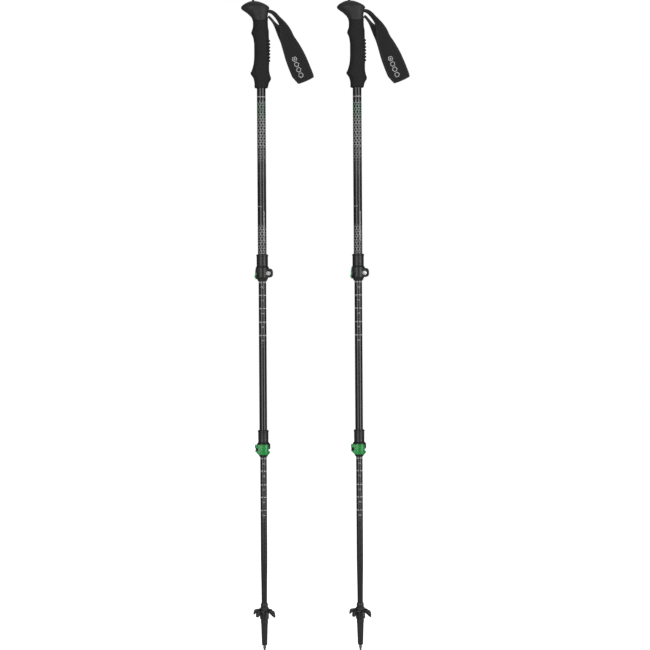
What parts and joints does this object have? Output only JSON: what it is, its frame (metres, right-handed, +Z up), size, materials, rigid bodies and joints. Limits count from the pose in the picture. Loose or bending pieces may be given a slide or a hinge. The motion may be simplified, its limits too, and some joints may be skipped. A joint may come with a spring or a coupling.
{
  "type": "trekking poles",
  "caption": "Pair of three-section trekking poles with foam grips, wrist straps, lever locks, flex tips and small baskets.",
  "frame": {"origin": "centre of the left pole's tip face, at the foot of its carbide tip", "axes": "+Z up along the poles, -X the way the noses of the grips point, +X towards the right pole and the way the straps hang out"},
  "size_m": [0.3095, 0.041, 1.2],
  "materials": {
    "foam": "matte closed-cell foam",
    "rubber": "soft-touch moulded",
    "webbing": "woven webbing",
    "tube": "gloss black anodised",
    "collar": "fine moulded texture",
    "lever": "green, satin gloss",
    "steel": "turned",
    "nylon": "fine moulded texture",
    "acetal": "dyed black",
    "carbide": "sintered"
  },
  "bodies": {
    "left_pole": {"left_grip_foam": "foam", "left_grip_head": "rubber", "left_strap_pin": "steel", "left_strap_anchor": "webbing", "left_upper_tube": "tube", "left_upper_lock_collar": "collar", "left_upper_lock_bolt": "steel", "left_upper_lock_cam_plate": "acetal", "left_upper_lock_lever_pin": "steel"},
    "left_strap": {"left_strap_loop": "webbing"},
    "left_strap_wedge": {"left_strap_lock": "rubber"},
    "left_upper_lever": {"left_upper_lock_lever": "lever"},
    "left_upper_nut": {"left_upper_lock_tension_nut": "steel"},
    "left_middle_section": {"left_middle_tube": "tube", "left_middle_guide_bush": "acetal", "left_lower_lock_collar": "collar", "left_lower_lock_bolt": "steel", "left_lower_lock_cam_plate": "acetal", "left_lower_lock_lever_pin": "steel"},
    "left_lower_lever": {"left_lower_lock_lever": "lever"},
    "left_lower_nut": {"left_lower_lock_tension_nut": "steel"},
    "left_lower_section": {"left_lower_tube": "tube", "left_lower_guide_bush": "acetal", "left_flex_tip": "nylon", "left_tip_ferrule": "steel", "left_carbide_tip": "carbide"},
    "left_basket": {"left_basket": "nylon"},
    "right_pole": {"right_grip_foam": "foam", "right_grip_head": "rubber", "right_strap_pin": "steel", "right_strap_anchor": "webbing", "right_upper_tube": "tube", "right_upper_lock_collar": "collar", "right_upper_lock_bolt": "steel", "right_upper_lock_cam_plate": "acetal", "right_upper_lock_lever_pin": "steel"},
    "right_strap": {"right_strap_loop": "webbing"},
    "right_strap_wedge": {"right_strap_lock": "rubber"},
    "right_upper_lever": {"right_upper_lock_lever": "lever"},
    "right_upper_nut": {"right_upper_lock_tension_nut": "steel"},
    "right_middle_section": {"right_middle_tube": "tube", "right_middle_guide_bush": "acetal", "right_lower_lock_collar": "collar", "right_lower_lock_bolt": "steel", "right_lower_lock_cam_plate": "acetal", "right_lower_lock_lever_pin": "steel"},
    "right_lower_lever": {"right_lower_lock_lever": "lever"},
    "right_lower_nut": {"right_lower_lock_tension_nut": "steel"},
    "right_lower_section": {"right_lower_tube": "tube", "right_lower_guide_bush": "acetal", "right_flex_tip": "nylon", "right_tip_ferrule": "steel", "right_carbide_tip": "carbide"},
    "right_basket": {"right_basket": "nylon"}
  },
  "joints": [
    {"name": "left_strap_swing", "type": "hinge", "parent": "left_pole", "child": "left_strap", "pos_m": [0.015, 0, 1.1732], "axis": [0, -1, 0], "range_deg": [-6, 25]},
    {"name": "left_strap_lock_lift", "type": "slide", "parent": "left_pole", "child": "left_strap_wedge", "axis": [0, 0, 1], "range_m": [0, 0.004]},
    {"name": "left_upper_lever_open", "type": "hinge", "parent": "left_pole", "child": "left_upper_lever", "pos_m": [0.00857, 0.0109, 0.6963], "axis": [0, 0, -1], "range_deg": [0, 120]},
    {"name": "left_upper_nut_turn", "type": "hinge", "parent": "left_pole", "child": "left_upper_nut", "pos_m": [0.0099, 0.00139, 0.6963], "axis": [0.1392, -0.9903, 0], "range_deg": [-360, 360]},
    {"name": "left_lower_lever_open", "type": "hinge", "parent": "left_middle_section", "child": "left_lower_lever", "pos_m": [-0.01118, -0.00694, 0.374], "axis": [0, 0, -1], "range_deg": [0, 120]},
    {"name": "left_lower_nut_turn", "type": "hinge", "parent": "left_middle_section", "child": "left_lower_nut", "pos_m": [-0.00869, 0.00233, 0.374], "axis": [0.2588, 0.9659, 0], "range_deg": [-360, 360]},
    {"name": "left_middle_slide", "type": "slide", "parent": "left_pole", "child": "left_middle_section", "axis": [0, 0, 1], "range_m": [-0.075, 0.27]},
    {"name": "left_lower_slide", "type": "slide", "parent": "left_middle_section", "child": "left_lower_section", "axis": [0, 0, 1], "range_m": [-0.075, 0.262]},
    {"name": "left_basket_turn", "type": "hinge", "parent": "left_lower_section", "child": "left_basket", "pos_m": [0, 0, 0.073], "axis": [0, 0, 1], "continuous": true},
    {"name": "right_pole_apart", "type": "slide", "parent": "left_pole", "child": "right_pole", "axis": [1, 0, 0], "range_m": [0, 0.3]},
    {"name": "right_strap_swing", "type": "hinge", "parent": "right_pole", "child": "right_strap", "pos_m": [0.1909, 0, 1.1732], "axis": [0, -1, 0], "range_deg": [-6, 25]},
    {"name": "right_strap_lock_lift", "type": "slide", "parent": "right_pole", "child": "right_strap_wedge", "axis": [0, 0, 1], "range_m": [0, 0.004]},
    {"name": "right_upper_lever_open", "type": "hinge", "parent": "right_pole", "child": "right_upper_lever", "pos_m": [0.18447, 0.0109, 0.6963], "axis": [0, 0, -1], "range_deg": [0, 120]},
    {"name": "right_upper_nut_turn", "type": "hinge", "parent": "right_pole", "child": "right_upper_nut", "pos_m": [0.1858, 0.00139, 0.6963], "axis": [0.1392, -0.9903, 0], "range_deg": [-360, 360]},
    {"name": "right_lower_lever_open", "type": "hinge", "parent": "right_middle_section", "child": "right_lower_lever", "pos_m": [0.16472, -0.00694, 0.374], "axis": [0, 0, -1], "range_deg": [0, 120]},
    {"name": "right_lower_nut_turn", "type": "hinge", "parent": "right_middle_section", "child": "right_lower_nut", "pos_m": [0.16721, 0.00233, 0.374], "axis": [0.2588, 0.9659, 0], "range_deg": [-360, 360]},
    {"name": "right_middle_slide", "type": "slide", "parent": "right_pole", "child": "right_middle_section", "axis": [0, 0, 1], "range_m": [-0.075, 0.27]},
    {"name": "right_lower_slide", "type": "slide", "parent": "right_middle_section", "child": "right_lower_section", "axis": [0, 0, 1], "range_m": [-0.075, 0.262]},
    {"name": "right_basket_turn", "type": "hinge", "parent": "right_lower_section", "child": "right_basket", "pos_m": [0.1759, 0, 0.073], "axis": [0, 0, 1], "continuous": true}
  ]
}
